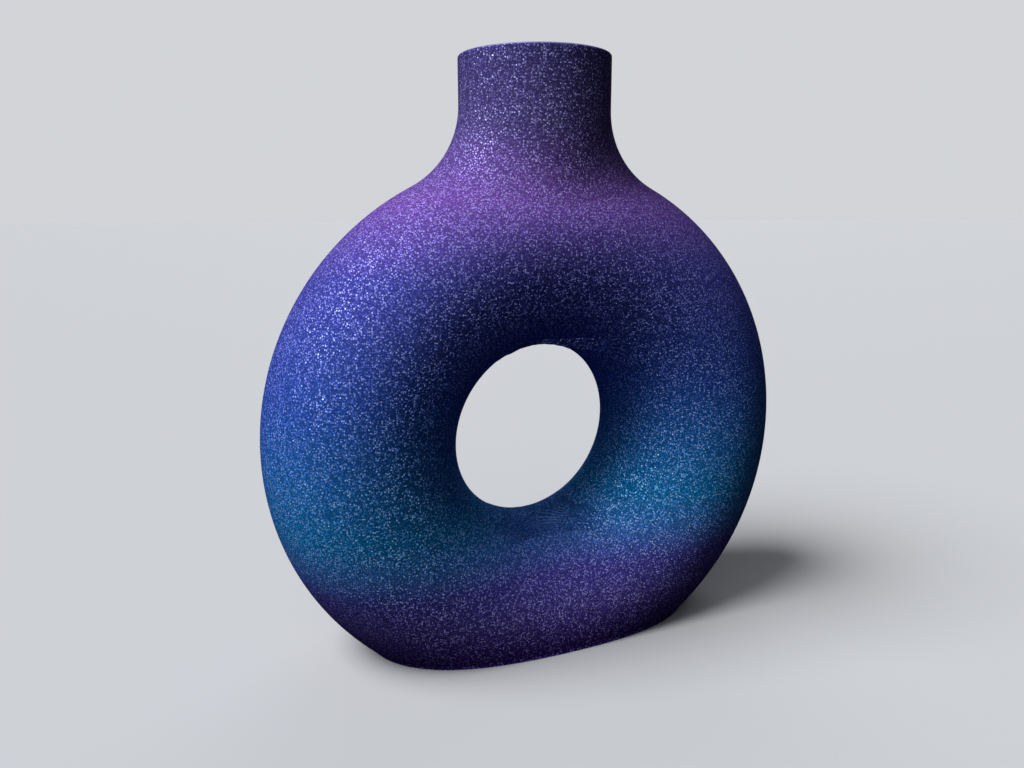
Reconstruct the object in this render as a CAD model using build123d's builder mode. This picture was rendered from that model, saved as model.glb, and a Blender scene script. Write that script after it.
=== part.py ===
"""Donut vase: a hollow ring with a flared neck, standing on the flat where the ring is cut off.

The vase is printed upright in layers, from a filament whose colour changes on the way up. Its pieces are
the zones that the layers stack up to: a solid floor, then walls that each stand on the flat top of the zone
below. Z is up, the hole runs along Y, and the origin is the middle of the foot, on the surface it stands on.
"""

import os
from math import sqrt

from build123d import *

# The ring and its foot, in millimetres
RING_RADIUS = 60.0  # middle of the ring to the middle of its tube
TUBE_RADIUS = 30.0  # outside of the tube
FOOT_CUT = 21.4  # depth of the ring's underside that the flat foot takes off

# The neck
NECK_RADIUS = 24.0  # outside of the straight collar
FLARE_RADIUS = 30.0  # concave sweep from the ring into the collar
FLARE_RUNOUT = 0.8  # straight wall above the flare's highest point, still part of the flare's zone
COLLAR_HEIGHT = 12.0

# The print
WALL = 2.0
RIM_ROUNDING = 0.4 * WALL
FLOOR = 2.4  # twelve solid layers
FOOT_SHARE = 2 / 3  # how much of the way from the floor to the hole is the foot's zone
LIMB_SHARE = 2 / 3  # how much of the hole's height the two limbs stand beside

# Heights above the foot that follow from those sizes
CENTRE_HEIGHT = RING_RADIUS + TUBE_RADIUS - FOOT_CUT
HOLE_RADIUS = RING_RADIUS - TUBE_RADIUS
HOLE_BOTTOM = CENTRE_HEIGHT - HOLE_RADIUS
FOOT_TOP = FLOOR + (HOLE_BOTTOM - FLOOR) * FOOT_SHARE
LIMB_BOTTOM = CENTRE_HEIGHT - HOLE_RADIUS * LIMB_SHARE
LIMB_TOP = CENTRE_HEIGHT + HOLE_RADIUS * LIMB_SHARE
CROWN = CENTRE_HEIGHT + RING_RADIUS  # the middle of the tube, at the top of the ring
# The flare is the path of a ball that rolls round the neck and touches both the collar and the ring.
# It reaches highest at the two sides, where the ring falls away from the neck.
BALL_TO_NECK = NECK_RADIUS + FLARE_RADIUS
BALL_TO_RING = RING_RADIUS + TUBE_RADIUS + FLARE_RADIUS
FLARE_TOP = CENTRE_HEIGHT + sqrt(BALL_TO_RING**2 - BALL_TO_NECK**2)
COLLAR_BOTTOM = FLARE_TOP + FLARE_RUNOUT
SHOULDER_TOP = (CROWN + COLLAR_BOTTOM) / 2
TOTAL_HEIGHT = COLLAR_BOTTOM + COLLAR_HEIGHT

RING_AXIS = Axis((0, 0, CENTRE_HEIGHT), (0, 1, 0))


def ring_and_neck(inset):
    """The ring with its neck as one solid, its skin lying inset below the outside of the vase."""
    with BuildPart() as form:
        with BuildSketch(Plane.XY.offset(CENTRE_HEIGHT)):
            with Locations((RING_RADIUS, 0)):
                Circle(TUBE_RADIUS - inset)
        revolve(axis=RING_AXIS)
        with BuildSketch(Plane.XY.offset(CROWN)):
            Circle(NECK_RADIUS - inset)
        extrude(amount=TOTAL_HEIGHT - CROWN)
        crease = form.edges().filter_by(GeomType.BSPLINE)
        fillet(crease, radius=FLARE_RADIUS + inset)
    return form.part


# The whole vase before it is divided: the outside, hollowed down to the floor, with a rounded rim
with BuildPart() as cavity:
    add(ring_and_neck(WALL))
    split(bisect_by=Plane.XY.offset(FLOOR), keep=Keep.TOP)

with BuildPart() as vase:
    add(ring_and_neck(0))
    split(bisect_by=Plane.XY, keep=Keep.TOP)
    add(cavity.part, mode=Mode.SUBTRACT)
    rim = vase.faces().sort_by(Axis.Z)[-1]
    fillet(rim.edges(), radius=RIM_ROUNDING)


def write(piece, name):
    """Names a finished piece and writes it as its own file."""
    piece.label = name
    export_step(piece, f"parts/{name}.step")


os.makedirs("parts", exist_ok=True)

# The zones that run all the way round, each with the heights between which it lies
for zone_name, low, high in (
    ("base_floor", 0, FLOOR),
    ("foot_wall", FLOOR, FOOT_TOP),
    ("lower_ring_wall", FOOT_TOP, LIMB_BOTTOM),
    ("upper_ring_wall", LIMB_TOP, CROWN),
    ("shoulder_wall", CROWN, SHOULDER_TOP),
    ("neck_flare", SHOULDER_TOP, COLLAR_BOTTOM),
    ("neck_collar", COLLAR_BOTTOM, TOTAL_HEIGHT),
):
    with BuildPart() as zone:
        add(vase.part)
        split(bisect_by=Plane.XY.offset(low), keep=Keep.TOP)
        split(bisect_by=Plane.XY.offset(high), keep=Keep.BOTTOM)
    write(zone.part, zone_name)

# Beside the hole the ring is two separate limbs
for limb_name, side in (("left_limb_wall", Keep.BOTTOM), ("right_limb_wall", Keep.TOP)):
    with BuildPart() as limb:
        add(vase.part)
        split(bisect_by=Plane.XY.offset(LIMB_BOTTOM), keep=Keep.TOP)
        split(bisect_by=Plane.XY.offset(LIMB_TOP), keep=Keep.BOTTOM)
        split(bisect_by=Plane.YZ, keep=side)
    write(limb.part, limb_name)
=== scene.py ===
"""Donut vase: a layered print in glittering gradient filament, standing on a pale studio floor.

Blender works in metres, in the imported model's frame: Z up, the hole along Y, the origin under the foot.
The print's own sizes are written in millimetres, as its maker would write them.
"""

from math import acos, asin, atan2, cos, hypot, pi, radians, sin, sqrt

import bmesh
import bpy
from mathutils import Matrix, Vector, noise


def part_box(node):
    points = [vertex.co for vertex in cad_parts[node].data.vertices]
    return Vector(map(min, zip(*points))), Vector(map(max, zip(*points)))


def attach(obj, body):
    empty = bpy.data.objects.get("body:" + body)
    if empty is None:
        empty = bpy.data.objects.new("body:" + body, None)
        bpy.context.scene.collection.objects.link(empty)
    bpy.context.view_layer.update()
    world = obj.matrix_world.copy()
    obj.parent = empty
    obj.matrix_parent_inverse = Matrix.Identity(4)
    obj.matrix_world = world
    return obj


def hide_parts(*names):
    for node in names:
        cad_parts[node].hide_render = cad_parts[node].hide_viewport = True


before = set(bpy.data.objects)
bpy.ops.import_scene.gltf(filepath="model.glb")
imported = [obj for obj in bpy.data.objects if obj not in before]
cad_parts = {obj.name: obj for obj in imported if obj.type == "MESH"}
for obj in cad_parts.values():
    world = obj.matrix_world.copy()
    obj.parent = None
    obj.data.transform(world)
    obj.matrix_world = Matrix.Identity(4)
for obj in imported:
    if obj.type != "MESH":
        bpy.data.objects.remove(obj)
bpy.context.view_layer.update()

MM = 0.001


def measure(node, corner, axis):
    """One side of a node's box in millimetres: corner 0 is the lowest and 1 the highest."""
    return round(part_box(node)[corner][axis] / MM, 3)


# Sizes read from the frame
TUBE_RADIUS = round(measure("right_limb_wall", 1, 1), 1)
RING_RADIUS = round(measure("right_limb_wall", 1, 0), 1) - TUBE_RADIUS
NECK_RADIUS = round(measure("neck_collar", 1, 0), 1)
CENTRE = (measure("right_limb_wall", 0, 2) + measure("right_limb_wall", 1, 2)) / 2
TOP = measure("neck_collar", 1, 2)

# Sizes that the boxes don't show
WALL = 2.0
FLARE_RADIUS = 30.0
RIM_ROUNDING = 0.8
LAYER = 0.2

# What printing does to the form
FOOT_SPREAD = 0.3  # the first layers are pressed into the bed and spread
FOOT_SPREAD_HEIGHT = 0.8
STEPPED_BAND = 3.0  # above and below the hole's floor and arch, where layers show as steps
STEP = 2 * LAYER  # drawn twice as high as real, so that the steps can be told apart
STEEP, SHALLOW = 0.6, 0.85  # tilt of the surface between which the steps fade in
HIGHLIGHT_STEEP, HIGHLIGHT_SHALLOW = 0.9, 0.97  # and between which a painted highlight fades in on the edges of the steps
LIP_HIGHLIGHT = 1.8  # a painted highlight along the whole rim, on its last strand
DROOP = 0.45  # the arch of the hole is printed over air, and its strands sag
DROOP_WIDTH = 2.6

# The mesh
HALF_COLUMNS = 160  # round the right or the left half of a zone
CROWDING = 0.5  # 0 leaves the columns even, and 1 crowds them most at the hole's floor and arch
ROW, INNER_ROW = 1.0, 2.4  # between the rows of the outer skin, and of the inner one
EDGE_ROW = 0.1  # thin rows beside each zone's ends keep the shading smooth from zone to zone
LIP_ROWS = 8
SNAP = 0.05  # a point this near to the middle plane lies on it
WELD = 1e-6  # in metres, as the finished mesh is
SHARP_ANGLE = radians(40)
EDGE_HIGHLIGHT = "painted_edge_highlight"  # the attribute that holds the painted highlight on a strand's edge

# Each printed zone: its node, the slot of its finish and the halves of the ring that it covers
ZONES = (
    ("base_floor", "pla_purple", "both"),
    ("foot_wall", "pla_purple", "both"),
    ("lower_ring_wall", "pla_teal", "both"),
    ("left_limb_wall", "pla_blue", "left"),
    ("right_limb_wall", "pla_blue", "right"),
    ("upper_ring_wall", "pla_indigo", "both"),
    ("shoulder_wall", "pla_violet", "both"),
    ("neck_flare", "pla_plum", "both"),
    ("neck_collar", "pla_plum", "both"),
)


def smooth_step(low, high, value):
    part = min(max((value - low) / (high - low), 0), 1)
    return part * part * (3 - 2 * part)


def mix(a, b, share):
    return a + (b - a) * share


def crowd(column):
    """A column's place from -1 to 1, crowded towards the ends, which meet at the hole's floor and arch."""
    return column + CROWDING * sin(pi * column) / pi


def full_turn(rise, tube):
    """How far round the tube the ring's outline reaches at this height over the ring's middle."""
    if abs(rise) <= RING_RADIUS - tube:
        return pi
    return acos(min((abs(rise) - RING_RADIUS) / tube, 1))


def on_ring(place, rise, tube):
    """A point of the plain ring's level outline on its right half, from -1 in front to 1 behind."""
    turn = place * full_turn(rise, tube)
    away = RING_RADIUS + tube * cos(turn)
    return Vector((sqrt(max(away * away - rise * rise, 0)), tube * sin(turn)))


def on_neck(place, rise, tube, neck, ball):
    """A point of the level outline at the neck: collar, flare, or the ring below it.

    The flare is the path of a ball that rolls round the neck and touches the collar and the ring.
    """
    angle = place * pi / 2
    outward = Vector((cos(angle), sin(angle), 0))
    middle = (neck + ball) * outward
    ring_reach = RING_RADIUS + sqrt((tube + ball) ** 2 - middle.y**2)
    middle.z = sqrt(ring_reach**2 - middle.x**2)
    if rise >= middle.z:
        return (neck * outward).xy
    spine = Vector((middle.x, 0, middle.z)).normalized() * RING_RADIUS
    to_ring = (spine - middle) / (tube + ball)
    touch = middle + ball * to_ring
    if rise >= touch.z:
        sweep = to_ring.angle(-outward)
        part = asin(min((rise - middle.z) / ball * sin(sweep) / to_ring.z, 1))
        toward = sin(sweep - part) * -outward + sin(part) * to_ring
        return (middle + ball / sin(sweep) * toward).xy
    touch_turn = atan2(touch.y, hypot(touch.x, touch.z) - RING_RADIUS)
    touch_place = touch_turn / full_turn(touch.z, tube)
    below = smooth_step(touch.z, RING_RADIUS - tube, rise)
    return on_ring(mix(touch_place, place, below), rise, tube)


def outline(place, height, inset):
    """A point of a skin's level outline in millimetres; inset is how far inside the outer skin it lies."""
    rise = height - CENTRE
    over_lip = max(height - (TOP - RIM_ROUNDING), 0)
    lip = RIM_ROUNDING - sqrt(max(RIM_ROUNDING**2 - over_lip**2, 0))
    if inset == 0 and height < FOOT_SPREAD_HEIGHT:
        inset = -FOOT_SPREAD * (1 - height / FOOT_SPREAD_HEIGHT) ** 2
    tube = TUBE_RADIUS - inset
    if rise <= RING_RADIUS - tube:
        return on_ring(place, rise, tube)
    neck = NECK_RADIUS - inset + (lip if inset > 0 else -lip)
    return on_neck(place, rise, tube, neck, FLARE_RADIUS + inset)


def tilt(place, height):
    """How far the plain ring's surface faces up or down at a point, from 0 for upright to 1 for level."""
    rise = height - CENTRE
    turn = place * full_turn(rise, TUBE_RADIUS)
    return abs(cos(turn) * rise / (RING_RADIUS + TUBE_RADIUS * cos(turn)))


def even_rows(low, high, step):
    count = max(round((high - low) / step), 1)
    return [mix(low, high, i / count) for i in range(count + 1)]


def lip_rows():
    start = TOP - RIM_ROUNDING
    return [start + RIM_ROUNDING * sin(pi / 2 * i / LIP_ROWS) for i in range(1, LIP_ROWS + 1)]


def skin_rows(low, high, inset):
    """The rows of one skin from low to high: a height, the height whose outline it takes, and the inset.

    A plain row takes its own outline. In the stepped bands each step has two rows with one outline.
    """
    step = INNER_ROW if inset else ROW
    band = 0 if inset else STEPPED_BAND
    saddles = [CENTRE + side * (RING_RADIUS - TUBE_RADIUS + inset) for side in (-1, 1)]
    rows = [(low, low)]
    reached = low + EDGE_ROW
    for saddle in saddles:
        if not low < saddle < high:
            continue
        rows += [(z, z) for z in even_rows(reached, saddle - band, step)]
        for i in range(round(2 * band / STEP)):
            bottom = saddle - band + i * STEP
            middle = bottom + STEP / 2
            rows += [(bottom, middle), (bottom + STEP, middle)]
        reached = saddle + band
    if high == TOP:
        rows += [(z, z) for z in even_rows(reached, TOP - RIM_ROUNDING, step) + lip_rows()]
    else:
        rows += [(z, z) for z in even_rows(reached, high - EDGE_ROW, step) + [high]]
    return [(height, outline_height, inset) for height, outline_height in rows]


def zone_rows(low, high, solid):
    """The rows round a zone's wall: up the outer skin, down the inner skin and back to the start."""
    rows = skin_rows(low, high, 0)
    if solid:
        return rows
    return rows + skin_rows(low, high, WALL)[::-1] + rows[:1]


def droop(place, height, point):
    """How far a strand of the hole's arch hangs, where it was printed over air."""
    over_arch = height - (CENTRE + RING_RADIUS - TUBE_RADIUS)
    if not -STEPPED_BAND / 2 < over_arch < STEPPED_BAND:
        return 0
    facing_down = smooth_step(STEEP, SHALLOW, tilt(place, height))
    nearness = 1 - smooth_step(0, STEPPED_BAND, over_arch)
    strand = 0.5 + 0.5 * noise.noise(Vector((*point, height)) / DROOP_WIDTH)
    return DROOP * facing_down * nearness * strand


def painted_highlight(place, near, far):
    """How strong the painted highlight is between two rows: on the lip and on the steps of the hole's
    floor.
    """
    height, outline_height, inset = near
    if inset == 0 and height >= TOP - STEP:
        return LIP_HIGHLIGHT
    if height == outline_height or outline_height != far[1] or outline_height > CENTRE:
        return 0
    return smooth_step(HIGHLIGHT_STEEP, HIGHLIGHT_SHALLOW, tilt(place, outline_height))


def half_zone(rows):
    """The right half of a zone: a grid whose rows are level and whose columns run round the wall."""
    bm = bmesh.new()
    # painted highlight on the lip and the step edges, per face
    bare_or_highlight = bm.faces.layers.float.new(EDGE_HIGHLIGHT)
    bmesh.ops.create_grid(bm, x_segments=HALF_COLUMNS, y_segments=len(rows) - 1, size=1)
    row_number = {vert: round((vert.co.y + 1) / 2 * (len(rows) - 1)) for vert in bm.verts}
    for face in bm.faces:
        first = min(row_number[vert] for vert in face.verts)
        face[bare_or_highlight] = painted_highlight(crowd(face.calc_center_median().x), rows[first], rows[first + 1])
    for vert in bm.verts:
        place = crowd(vert.co.x)
        height, outline_height, inset = rows[row_number[vert]]
        point = outline(place, height, inset)
        if outline_height != height:
            stepped = smooth_step(STEEP, SHALLOW, tilt(place, outline_height))
            point = point.lerp(outline(place, outline_height, inset), stepped)
        if point.x < SNAP:
            point.x = 0
        if inset == 0:
            height -= droop(place, height, point)
        vert.co = Vector((*point, height)) * MM
    return bm


def close_zone(bm, solid):
    """Closes what the grid leaves open: a plate's level faces, or the terraces at the hole's saddles."""
    open_edges = [e for e in bm.edges if e.is_boundary]
    if not solid:
        bmesh.ops.holes_fill(bm, edges=open_edges, sides=4)
        return
    middle = sum(e.verts[0].co.z for e in open_edges) / len(open_edges)
    for side in (-1, 1):
        loop = [e for e in open_edges if (e.verts[0].co.z - middle) * side > 0]
        bmesh.ops.contextual_create(bm, geom=loop)


def new_object(name, bm, material):
    """Turns a finished mesh into an object of one material."""
    mesh = bpy.data.meshes.new(name)
    bm.to_mesh(mesh)
    bm.free()
    mesh.materials.append(material)
    made = bpy.data.objects.new(name, mesh)
    bpy.context.collection.objects.link(made)
    return made


def printed_zone(node, slot, halves, material):
    """One zone of the print, in place of its node: a closed wall of whole layers, or a solid plate."""
    low, high = measure(node, 0, 2), measure(node, 1, 2)
    solid = node == "base_floor"
    bm = half_zone(zone_rows(low, high, solid))
    if halves == "both":
        bmesh.ops.mirror(bm, geom=bm.verts[:] + bm.edges[:] + bm.faces[:], merge_dist=WELD, axis="X")
    if halves == "left":
        bmesh.ops.scale(bm, vec=(-1, 1, 1), verts=bm.verts)
    bmesh.ops.remove_doubles(bm, verts=bm.verts, dist=WELD)
    close_zone(bm, solid)
    bmesh.ops.recalc_face_normals(bm, faces=bm.faces)
    for face in bm.faces:
        face.smooth = True
    for edge in bm.edges:
        edge.smooth = edge.is_manifold and edge.calc_face_angle(pi) < SHARP_ANGLE
    piece = new_object(node + "_print", bm, material)
    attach(piece, "root")
    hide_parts(node)


# Materials


def linear(code):
    """An sRGB hex colour as linear light, with full alpha."""
    channels = [int(code[i : i + 2], 16) / 255 for i in (1, 3, 5)]
    return [c / 12.92 if c <= 0.04045 else ((c + 0.055) / 1.055) ** 2.4 for c in channels] + [1.0]


def add(tree, kind, inputs, **settings):
    """Adds a node with its settings; an input is a value, or another node's output to link."""
    node = tree.nodes.new(kind)
    for name, value in settings.items():
        setattr(node, name, value)
    for socket, value in inputs.items():
        if isinstance(value, bpy.types.NodeSocket):
            tree.links.new(value, node.inputs[socket])
        else:
            node.inputs[socket].default_value = value
    return node


def new_material(name):
    material = bpy.data.materials.new(name)
    material.use_nodes = True
    material.node_tree.nodes.clear()
    return material, material.node_tree


# Filament colour at heights above the foot, in millimetres
GRADIENT = (
    (0, "#4b26a0"),
    (16, "#695ac3"),
    (27, "#5e5cce"),
    (38, "#4797f5"),
    (48, "#1aa2f2"),
    (88, "#3f73ea"),
    (122, "#636ae4"),
    (145, "#a176ea"),
    (166, "#786abe"),
    (188, "#675fb4"),
)

# The plastic, and the clear skin on it
PLASTIC_ROUGHNESS, PLASTIC_IOR, PLASTIC_SPECULAR = 0.7, 1.46, 0.0
SKIN_TINT, SKIN_IOR, SKIN_ROUGHNESS = "#e8e3ea", 1.05, 1.0

# The flakes in it
FLAKE = 0.53  # apart: real ones are finer, and from arm's length the strongest of a cluster shows
FLAKE_EDGE, FLAKE_CORE = 0.64, 0.26  # where a flake ends and where it is full, in flake spacings
FLAKE_TILT = 0.7  # how far a bare flake may lean out of the surface
DULLEST, LIGHTEST = 0.5, 1.35  # what the flakes under the skin do to the plastic's colour
BARE_FROM = 0.3  # the share of the flakes that the skin covers
BARE_RARITY = 1.5  # the higher, the fewer of the bare flakes are strong
BARE_TINT = (1.0, 1.4, 1.2)  # how much of the plastic's red, green and blue a bare flake takes on
BARE_SILVER = "#acacbd"  # and what its own silver adds
BARE_METAL, BARE_ROUGHNESS = 0.85, 0.4
SHINE_LOST = 0.58  # how far aslant a bare flake loses its shine, 0 from straight on and 1 at the edge
PAINTED_STRAND_SHINE = 0.4  # painted highlight on a strand's edge, as a share of a strong flake

# The layers
SEEN_LAYERS = 4  # single layers are too fine to show, so they are drawn four at a time
LAYER_RIDGE = 0.015
LAYER_SHADES = 0.95, 1.05
PITCH = SEEN_LAYERS * LAYER * MM
WAVE_LENGTH = pi / 10  # after which a wave texture of scale 1 repeats


def filament_colour(tree, height):
    """The plastic's own colour, which drifts with height."""
    share = add(tree, "ShaderNodeMapRange", {"Value": height, "From Max": TOP * MM}).outputs[0]
    ramp = add(tree, "ShaderNodeValToRGB", {"Fac": share})
    stops = ramp.color_ramp.elements
    while len(stops) < len(GRADIENT):
        stops.new(0.5)
    for stop, (level, code) in zip(stops, GRADIENT):
        stop.position = level / TOP
        stop.color = linear(code)
    return ramp.outputs["Color"]


def flake_pattern(tree, place):
    """Flakes at random places: how much of one lies at a point, and a random colour for each."""
    cells = add(tree, "ShaderNodeTexVoronoi", {"Vector": place, "Scale": 1 / (FLAKE * MM)}).outputs
    edge = {"Value": cells["Distance"], "From Min": FLAKE_EDGE, "From Max": FLAKE_CORE}
    disc = add(tree, "ShaderNodeMapRange", edge, interpolation_type="SMOOTHSTEP").outputs[0]
    return disc, cells["Color"]


def bare_flakes(tree, disc, chance):
    """How strongly a flake that lies bare shows at a point."""
    bare_or_highlight = add(tree, "ShaderNodeMapRange", {"Value": chance, "From Min": BARE_FROM}).outputs[0]
    strong = add(tree, "ShaderNodeMath", {0: bare_or_highlight, 1: BARE_RARITY}, operation="POWER").outputs[0]
    return add(tree, "ShaderNodeMath", {0: disc, 1: strong}, operation="MULTIPLY").outputs[0]


def with_edge_highlight(tree, flake):
    """The bare flakes, and a painted highlight on the edges of single strands, which shows as bright as a
    speck too.
    """
    edge = add(tree, "ShaderNodeAttribute", {}, attribute_name=EDGE_HIGHLIGHT).outputs["Fac"]
    strand = add(tree, "ShaderNodeMath", {0: edge, 1: PAINTED_STRAND_SHINE}, operation="MULTIPLY").outputs[0]
    return add(tree, "ShaderNodeMath", {0: flake, 1: strand}, operation="MAXIMUM").outputs[0]


def uneven_shade(tree, height, disc, chance):
    """How the flakes under the skin and the layers lighten or dull the plastic."""
    along = {"W": height, "Scale": 1 / PITCH}
    layer = add(tree, "ShaderNodeTexNoise", along, noise_dimensions="1D").outputs[0]
    shades = {"Value": layer, "To Min": LAYER_SHADES[0], "To Max": LAYER_SHADES[1]}
    layer_shade = add(tree, "ShaderNodeMapRange", shades).outputs[0]
    covered = add(tree, "ShaderNodeMath", {0: disc, 1: chance}, operation="MULTIPLY").outputs[0]
    shades = {"Value": covered, "To Min": DULLEST, "To Max": LIGHTEST}
    flake_shade = add(tree, "ShaderNodeMapRange", shades).outputs[0]
    return add(tree, "ShaderNodeMath", {0: flake_shade, 1: layer_shade}, operation="MULTIPLY").outputs[0]


def leaning_normal(tree, place, flake, random_colour):
    """The way the surface faces: the layers' ridges, and each bare flake's own random lean."""
    waves = {"Vector": place, "Scale": WAVE_LENGTH / PITCH}
    ridges = add(tree, "ShaderNodeTexWave", waves, bands_direction="Z").outputs["Fac"]
    layered = add(tree, "ShaderNodeBump", {"Height": ridges, "Distance": LAYER_RIDGE * MM}).outputs[0]
    centred = {0: random_colour, 1: (0.5, 0.5, 0.5)}
    any_way = add(tree, "ShaderNodeVectorMath", centred, operation="SUBTRACT").outputs[0]
    amount = add(tree, "ShaderNodeMath", {0: flake, 1: FLAKE_TILT}, operation="MULTIPLY").outputs[0]
    lean = add(tree, "ShaderNodeVectorMath", {0: any_way, "Scale": amount}, operation="SCALE").outputs[0]
    tilted = add(tree, "ShaderNodeVectorMath", {0: layered, 1: lean}, operation="ADD").outputs[0]
    return add(tree, "ShaderNodeVectorMath", {0: tilted}, operation="NORMALIZE").outputs[0]


def flake_metal(tree, speck_or_highlight):
    """How much of a speck is bare metal; seen aslant, a flat flake's shine is lost behind the ridges."""
    aslant = add(tree, "ShaderNodeLayerWeight", {}).outputs["Facing"]
    fading = {"Value": aslant, "From Max": SHINE_LOST, "To Min": BARE_METAL, "To Max": 0.0}
    shine = add(tree, "ShaderNodeMapRange", fading).outputs[0]
    return add(tree, "ShaderNodeMath", {0: speck_or_highlight, 1: shine}, operation="MULTIPLY").outputs[0]


def glitter_pla():
    """Glitter-filled PLA, printed in fine level layers.

    Deep matt plastic whose colour drifts with height, packed with fine silvery flakes. Most lie under the
    skin and only make the colour uneven. The bare ones lie at random tilts and show as bright specks, also
    in shade, and most where they are seen from straight on. The skin is clear but tinted, so what is seen
    aslant is seen through more of it and turns darker.
    """
    material, tree = new_material("glitter_gradient_pla")
    place = add(tree, "ShaderNodeTexCoord", {}).outputs["Object"]
    height = add(tree, "ShaderNodeSeparateXYZ", {0: place}).outputs["Z"]
    disc, random_colour = flake_pattern(tree, place)
    chances = add(tree, "ShaderNodeSeparateColor", {0: random_colour}).outputs
    flake = bare_flakes(tree, disc, chances[0])
    # the specks carry the painted highlight of the lip and the step edges too: silvery colour, some metal
    # and less roughness
    speck_or_highlight = with_edge_highlight(tree, flake)

    body = filament_colour(tree, height)
    shade = uneven_shade(tree, height, disc, chances[1])
    deep = add(tree, "ShaderNodeVectorMath", {0: body, "Scale": shade}, operation="SCALE").outputs[0]
    tinted = {0: body, 1: BARE_TINT, 2: linear(BARE_SILVER)[:3]}
    silvery = add(tree, "ShaderNodeVectorMath", tinted, operation="MULTIPLY_ADD").outputs[0]
    colour = add(tree, "ShaderNodeMix", {0: speck_or_highlight, 6: deep, 7: silvery}, data_type="RGBA").outputs[2]

    smoother = {"Value": speck_or_highlight, "To Min": PLASTIC_ROUGHNESS, "To Max": BARE_ROUGHNESS}
    rough = add(tree, "ShaderNodeMapRange", smoother).outputs[0]
    metal = flake_metal(tree, speck_or_highlight)
    facing = leaning_normal(tree, place, flake, random_colour)
    finish = {"Base Color": colour, "Roughness": rough, "Metallic": metal, "Normal": facing}
    plastic = {"IOR": PLASTIC_IOR, "Specular IOR Level": PLASTIC_SPECULAR}
    skin = {"Coat Weight": 1.0, "Coat Roughness": SKIN_ROUGHNESS, "Coat IOR": SKIN_IOR}
    skin["Coat Tint"] = linear(SKIN_TINT)
    shader = add(tree, "ShaderNodeBsdfPrincipled", {**finish, **plastic, **skin})
    add(tree, "ShaderNodeOutputMaterial", {"Surface": shader.outputs[0]})
    return material


# The stage: sizes in metres, and each colour as it is seen and as it lights the vase
FLOOR_RADIUS, FLOOR_SIDES = 12.0, 96
FLOOR_SEEN, FLOOR_LIGHT = "#c3c5c9", "#202124"
FLOOR_ROUGHNESS, FLOOR_SPECULAR = 0.9, 0.1
BACKDROP_SEEN, BACKDROP_LIGHT = "#d2d4d8", "#dfe4ee"
BACKDROP_SEEN_STRENGTH, BACKDROP_LIGHT_STRENGTH = 1.0, 0.01


def rays_that_see(tree):
    """1 for the rays that see the stage as it looks: from the lens, in reflections and through glass."""
    path = add(tree, "ShaderNodeLightPath", {}).outputs
    mirrored = {0: path["Is Camera Ray"], 1: path["Is Glossy Ray"]}
    either = add(tree, "ShaderNodeMath", mirrored, operation="MAXIMUM").outputs[0]
    through = {0: either, 1: path["Is Transmission Ray"]}
    return add(tree, "ShaderNodeMath", through, operation="MAXIMUM").outputs[0]


def pale_floor():
    """Matt painted board: a plain pale ground that takes the shadow and throws little light back up."""
    material, tree = new_material("pale_painted_board")
    colours = {0: rays_that_see(tree), 6: linear(FLOOR_LIGHT), 7: linear(FLOOR_SEEN)}
    shown = add(tree, "ShaderNodeMix", colours, data_type="RGBA").outputs[2]
    finish = {"Base Color": shown, "Roughness": FLOOR_ROUGHNESS, "Specular IOR Level": FLOOR_SPECULAR}
    shader = add(tree, "ShaderNodeBsdfPrincipled", finish)
    add(tree, "ShaderNodeOutputMaterial", {"Surface": shader.outputs[0]})
    return material


def add_floor():
    bm = bmesh.new()
    bmesh.ops.create_circle(bm, cap_ends=True, segments=FLOOR_SIDES, radius=FLOOR_RADIUS)
    new_object("studio_floor", bm, pale_floor())


def add_world():
    world = bpy.data.worlds.new("studio")
    world.use_nodes = True
    tree = world.node_tree
    tree.nodes.clear()
    dim = {"Color": linear(BACKDROP_LIGHT), "Strength": BACKDROP_LIGHT_STRENGTH}
    dim = add(tree, "ShaderNodeBackground", dim).outputs[0]
    pale = {"Color": linear(BACKDROP_SEEN), "Strength": BACKDROP_SEEN_STRENGTH}
    pale = add(tree, "ShaderNodeBackground", pale).outputs[0]
    both = add(tree, "ShaderNodeMixShader", {0: rays_that_see(tree), 1: dim, 2: pale})
    add(tree, "ShaderNodeOutputWorld", {"Surface": both.outputs[0]})
    bpy.context.scene.world = world


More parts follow.
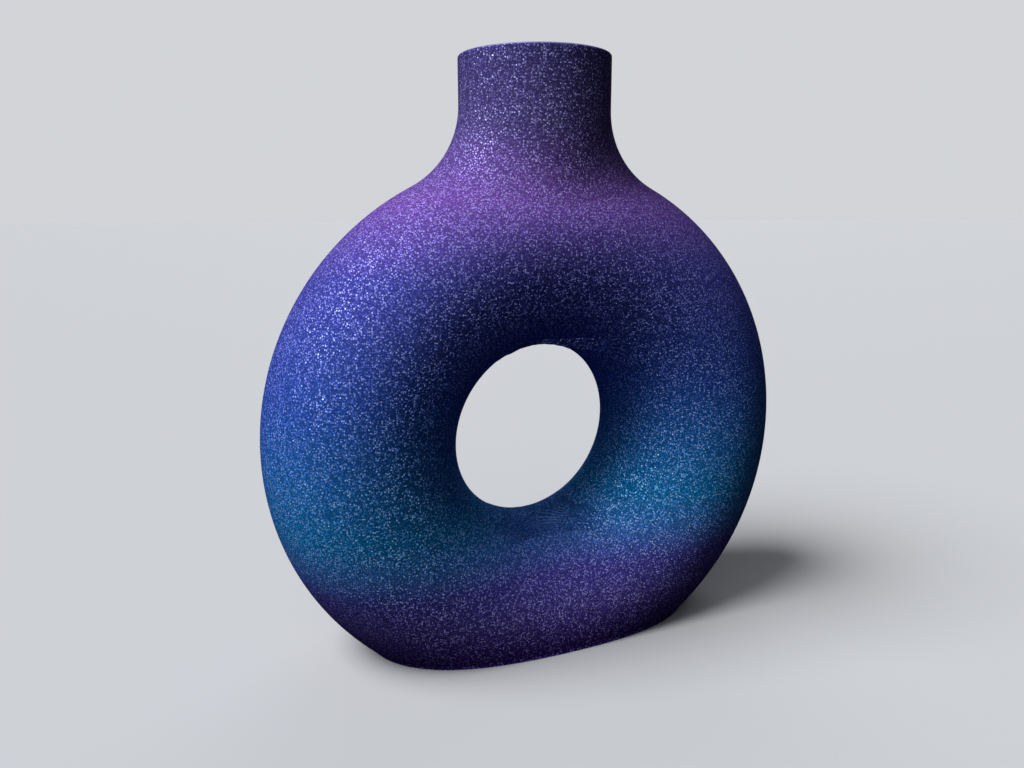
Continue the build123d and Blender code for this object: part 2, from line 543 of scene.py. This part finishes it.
# Wide soft lamps far off: azimuth, elevation and spread in degrees, and strength
LAMPS = (
    ("key", -87, 54, 36, 3.65),
    ("front", -42, 42, 60, 0.4),
    ("back", 150, 20, 60, 0.8),
)

# The photograph's view: where the lens stands round the ring's middle, and how far it aims off that middle
VIEW_AZIMUTH, VIEW_ELEVATION, VIEW_DISTANCE = -24.62, 15.2, 278.9
AIM_YAW, AIM_PITCH, AIM_ROLL = -1.554, 3.144, 0.173
LENS, SENSOR = 28.59, 36.0
NEAREST_SEEN = 10.0


def direction(azimuth, elevation):
    """The way from the vase to a lamp or the lens: azimuth 0 is in front, and positive to the right."""
    a, e = radians(azimuth), radians(elevation)
    return Vector((sin(a) * cos(e), -cos(a) * cos(e), sin(e)))


def add_sun(name, azimuth, elevation, spread, strength):
    lamp = bpy.data.lights.new(name, "SUN")
    lamp.energy = strength
    lamp.angle = radians(spread)
    light = bpy.data.objects.new(name, lamp)
    light.rotation_euler = direction(azimuth, elevation).to_track_quat("Z", "Y").to_euler()
    bpy.context.collection.objects.link(light)


def add_camera():
    lens = bpy.data.cameras.new("camera")
    lens.lens = LENS
    lens.sensor_width = SENSOR
    lens.clip_start = NEAREST_SEEN * MM
    camera = bpy.data.objects.new("camera", lens)
    away = direction(VIEW_AZIMUTH, VIEW_ELEVATION)
    turn = away.to_track_quat("Z", "Y").to_matrix().to_4x4()
    aim = Matrix.Rotation(radians(-AIM_YAW), 4, "Y") @ Matrix.Rotation(radians(AIM_PITCH), 4, "X")
    aim = aim @ Matrix.Rotation(radians(AIM_ROLL), 4, "Z")
    spot = Matrix.Translation((away * VIEW_DISTANCE + Vector((0, 0, CENTRE))) * MM)
    camera.matrix_world = spot @ turn @ aim
    bpy.context.collection.objects.link(camera)
    bpy.context.scene.camera = camera


filament = glitter_pla()
for zone in ZONES:
    printed_zone(*zone, filament)

add_floor()
add_world()
for lamp in LAMPS:
    add_sun(*lamp)
add_camera()
bpy.context.scene.view_settings.view_transform = "Standard"
